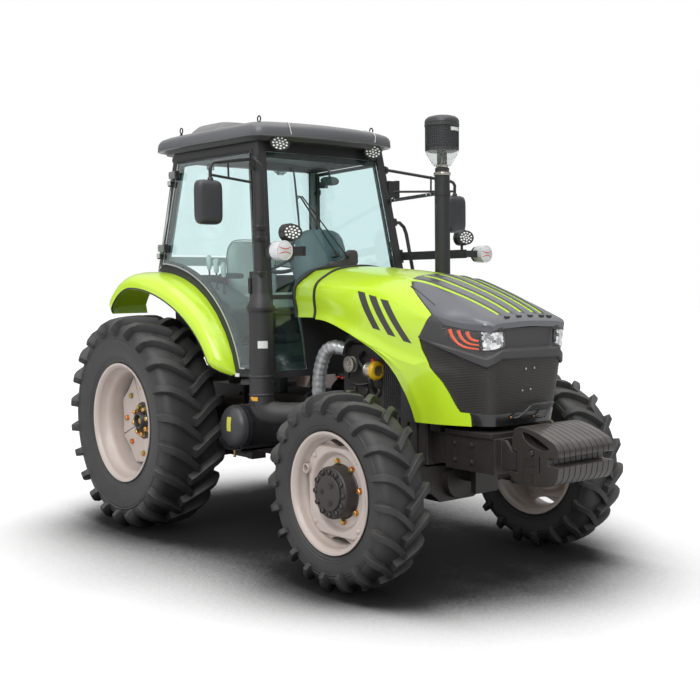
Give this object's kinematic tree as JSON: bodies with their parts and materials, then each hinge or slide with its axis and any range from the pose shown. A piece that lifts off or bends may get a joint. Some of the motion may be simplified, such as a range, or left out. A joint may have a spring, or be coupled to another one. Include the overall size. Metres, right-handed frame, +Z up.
{
  "type": "farm tractor",
  "caption": "Four-wheel-drive farm tractor with a glazed cab, lime green panels, hinged bonnet, front weights, vertical exhaust and rear three-point hitch.",
  "frame": {"origin": "on the ground at the middle of the tractor's own footprint box", "axes": "+X forward along the tractor, +Y to the driver's left, +Z up"},
  "size_m": [4.074, 2.2, 2.728],
  "materials": {
    "green_paint": "gloss",
    "roof_grey": "satin",
    "nose_plastic": "satin",
    "black_paint": "satin",
    "cast_iron": "painted",
    "weight_iron": "painted",
    "radiator_black": "painted",
    "rim_paint": "satin",
    "tyre_rubber": "matt",
    "tinted_glass": "clear",
    "lamp_glass": "clear",
    "black_plastic": "moulded",
    "cab_lining": "grained",
    "seat_fabric": "woven"
  },
  "bodies": {
    "root": {"transmission": "cast_iron", "engine": "cast_iron", "front_frame": "cast_iron", "front_axle": "cast_iron", "radiator": "radiator_black", "front_weights": "weight_iron", "air_tank": "black_paint", "fuel_tank": "black_plastic", "steps_left": "black_paint", "rear_fender_right": "green_paint", "rear_fender_left": "green_paint", "cab_frame": "black_paint", "windscreen": "tinted_glass", "quarter_glass_right": "tinted_glass", "quarter_glass_left": "tinted_glass", "cab_floor": "cab_lining", "cab_roof": "roof_grey", "cowl": "green_paint", "dashboard": "cab_lining", "seat_base": "black_plastic", "seat_cushion": "seat_fabric", "seat_backrest": "seat_fabric", "control_console": "cab_lining", "exhaust_stack": "black_paint", "intake_pipe": "black_paint", "precleaner": "black_plastic", "mirror_right": "black_plastic", "mirror_left": "black_plastic", "lamp_arm_right": "black_paint", "lamp_arm_left": "black_paint", "grab_rail_left": "black_paint", "drawbar": "cast_iron"},
    "bonnet": {"bonnet": "green_paint", "bonnet_nose": "nose_plastic", "headlamp_right": "lamp_glass", "headlamp_left": "lamp_glass"},
    "door_right": {"door_frame_right": "black_paint", "door_glass_right": "tinted_glass"},
    "door_left": {"door_frame_left": "black_paint", "door_glass_left": "tinted_glass"},
    "rear_window": {"rear_window": "tinted_glass"},
    "steering_wheel": {"steering_wheel": "black_plastic"},
    "knuckle_right": {"front_knuckle_right": "cast_iron"},
    "knuckle_left": {"front_knuckle_left": "cast_iron"},
    "front_wheel_right": {"front_tyre_right": "tyre_rubber", "front_rim_right": "rim_paint", "front_hub_right": "cast_iron"},
    "front_wheel_left": {"front_tyre_left": "tyre_rubber", "front_rim_left": "rim_paint", "front_hub_left": "cast_iron"},
    "rear_wheel_right": {"rear_tyre_right": "tyre_rubber", "rear_rim_right": "rim_paint"},
    "rear_wheel_left": {"rear_tyre_left": "tyre_rubber", "rear_rim_left": "rim_paint"},
    "lift_arms": {"lift_arms": "black_paint"},
    "lift_rod_right": {"lift_rod_right": "black_paint"},
    "lift_rod_left": {"lift_rod_left": "black_paint"},
    "lower_link_right": {"lower_link_right": "black_paint"},
    "lower_link_left": {"lower_link_left": "black_paint"}
  },
  "joints": [
    {"name": "bonnet_hinge", "type": "hinge", "parent": "root", "child": "bonnet", "pos_m": [0.333, 0, 1.73], "axis": [0, -1, 0], "range_deg": [0, 50]},
    {"name": "door_hinge_right", "type": "hinge", "parent": "root", "child": "door_right", "pos_m": [-1.09993, -0.68853, 1.905], "axis": [-0.1427, -0.1087, -0.9838], "range_deg": [0, 70]},
    {"name": "door_hinge_left", "type": "hinge", "parent": "root", "child": "door_left", "pos_m": [-1.09993, 0.68853, 1.905], "axis": [0.1427, -0.1087, 0.9838], "range_deg": [0, 70]},
    {"name": "rear_window_hinge", "type": "hinge", "parent": "root", "child": "rear_window", "pos_m": [-1.06397, 0, 2.484], "axis": [0, 1, 0], "range_deg": [0, 60]},
    {"name": "steering", "type": "hinge", "parent": "root", "child": "knuckle_right", "pos_m": [1.048, -0.6, 0.54], "axis": [0, 0, 1], "range_deg": [-35, 35]},
    {"name": "steering_left", "type": "hinge", "parent": "root", "child": "knuckle_left", "pos_m": [1.048, 0.6, 0.54], "axis": [0, 0, 1], "range_deg": [-35, 35]},
    {"name": "steering_wheel_turn", "type": "hinge", "parent": "root", "child": "steering_wheel", "pos_m": [-0.507, 0, 1.85], "axis": [-0.5299, 0, 0.848], "range_deg": [-420, 420]},
    {"name": "front_wheel_spin_right", "type": "hinge", "parent": "knuckle_right", "child": "front_wheel_right", "pos_m": [1.048, -0.794, 0.54], "axis": [0, 1, 0], "continuous": true},
    {"name": "front_wheel_spin_left", "type": "hinge", "parent": "knuckle_left", "child": "front_wheel_left", "pos_m": [1.048, 0.794, 0.54], "axis": [0, 1, 0], "continuous": true},
    {"name": "rear_wheel_spin_right", "type": "hinge", "parent": "root", "child": "rear_wheel_right", "pos_m": [-1.147, -0.813, 0.73], "axis": [0, 1, 0], "continuous": true},
    {"name": "rear_wheel_spin_left", "type": "hinge", "parent": "root", "child": "rear_wheel_left", "pos_m": [-1.147, 0.813, 0.73], "axis": [0, 1, 0], "continuous": true},
    {"name": "hitch_lift", "type": "hinge", "parent": "root", "child": "lift_arms", "pos_m": [-1.297, 0, 1.01], "axis": [0, 1, 0], "range_deg": [-24, 32]},
    {"name": "lift_rod_pivot_right", "type": "hinge", "parent": "lift_arms", "child": "lift_rod_right", "pos_m": [-1.577, -0.28, 1.06], "axis": [0, 1, 0], "range_deg": [-40, 40]},
    {"name": "lift_rod_pivot_left", "type": "hinge", "parent": "lift_arms", "child": "lift_rod_left", "pos_m": [-1.577, 0.28, 1.06], "axis": [0, 1, 0], "range_deg": [-40, 40]},
    {"name": "lower_link_pivot_right", "type": "hinge", "parent": "root", "child": "lower_link_right", "pos_m": [-1.207, -0.271, 0.47], "axis": [0, 1, 0], "range_deg": [-30, 30]},
    {"name": "lower_link_pivot_left", "type": "hinge", "parent": "root", "child": "lower_link_left", "pos_m": [-1.207, 0.271, 0.47], "axis": [0, 1, 0], "range_deg": [-30, 30]}
  ],
  "couplings": [
    {"joint": "steering_left", "follows": "steering", "ratio": 1},
    {"joint": "steering_wheel_turn", "follows": "steering", "ratio": 12},
    {"joint": "lift_rod_pivot_right", "follows": "hitch_lift", "ratio": -0.93},
    {"joint": "lift_rod_pivot_left", "follows": "hitch_lift", "ratio": -0.93},
    {"joint": "lower_link_pivot_right", "follows": "hitch_lift", "ratio": 0.683},
    {"joint": "lower_link_pivot_left", "follows": "hitch_lift", "ratio": 0.683}
  ]
}
